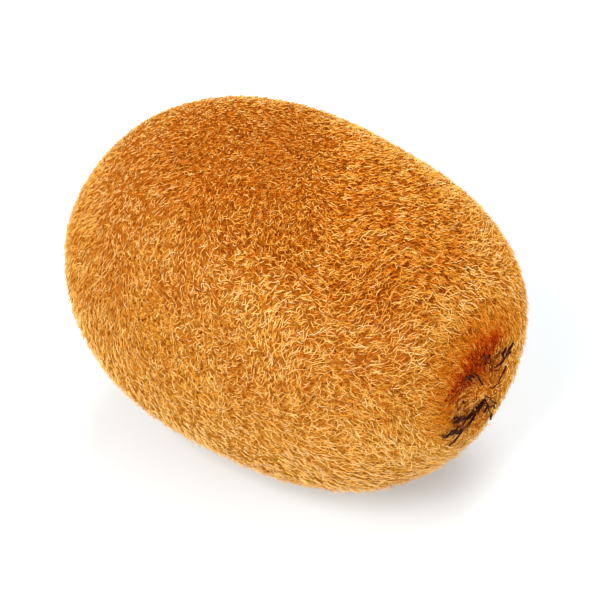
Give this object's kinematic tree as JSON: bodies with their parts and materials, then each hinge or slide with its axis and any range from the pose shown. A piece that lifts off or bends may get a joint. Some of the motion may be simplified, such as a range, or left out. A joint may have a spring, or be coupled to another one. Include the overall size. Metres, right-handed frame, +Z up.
{
  "type": "kiwi fruit",
  "caption": "Whole fuzzy brown kiwi fruit lying on its side, with dry dark styles in the pit of its blossom end and a stalk scar at the other.",
  "frame": {"origin": "middle of the bounding box's underside, on the resting spot under the fruit", "axes": "+X along the fruit towards the blossom end, +Y across its wider way, +Z up"},
  "size_m": [0.0672, 0.0508, 0.0465],
  "materials": {
    "skin": "matte orange-brown fruit skin under a coat of short golden hairs",
    "dry_style": "dry dark brown flower remains, slightly glossy"
  },
  "bodies": {
    "root": {"fruit": "skin", "dried_styles": "dry_style"}
  },
  "joints": []
}
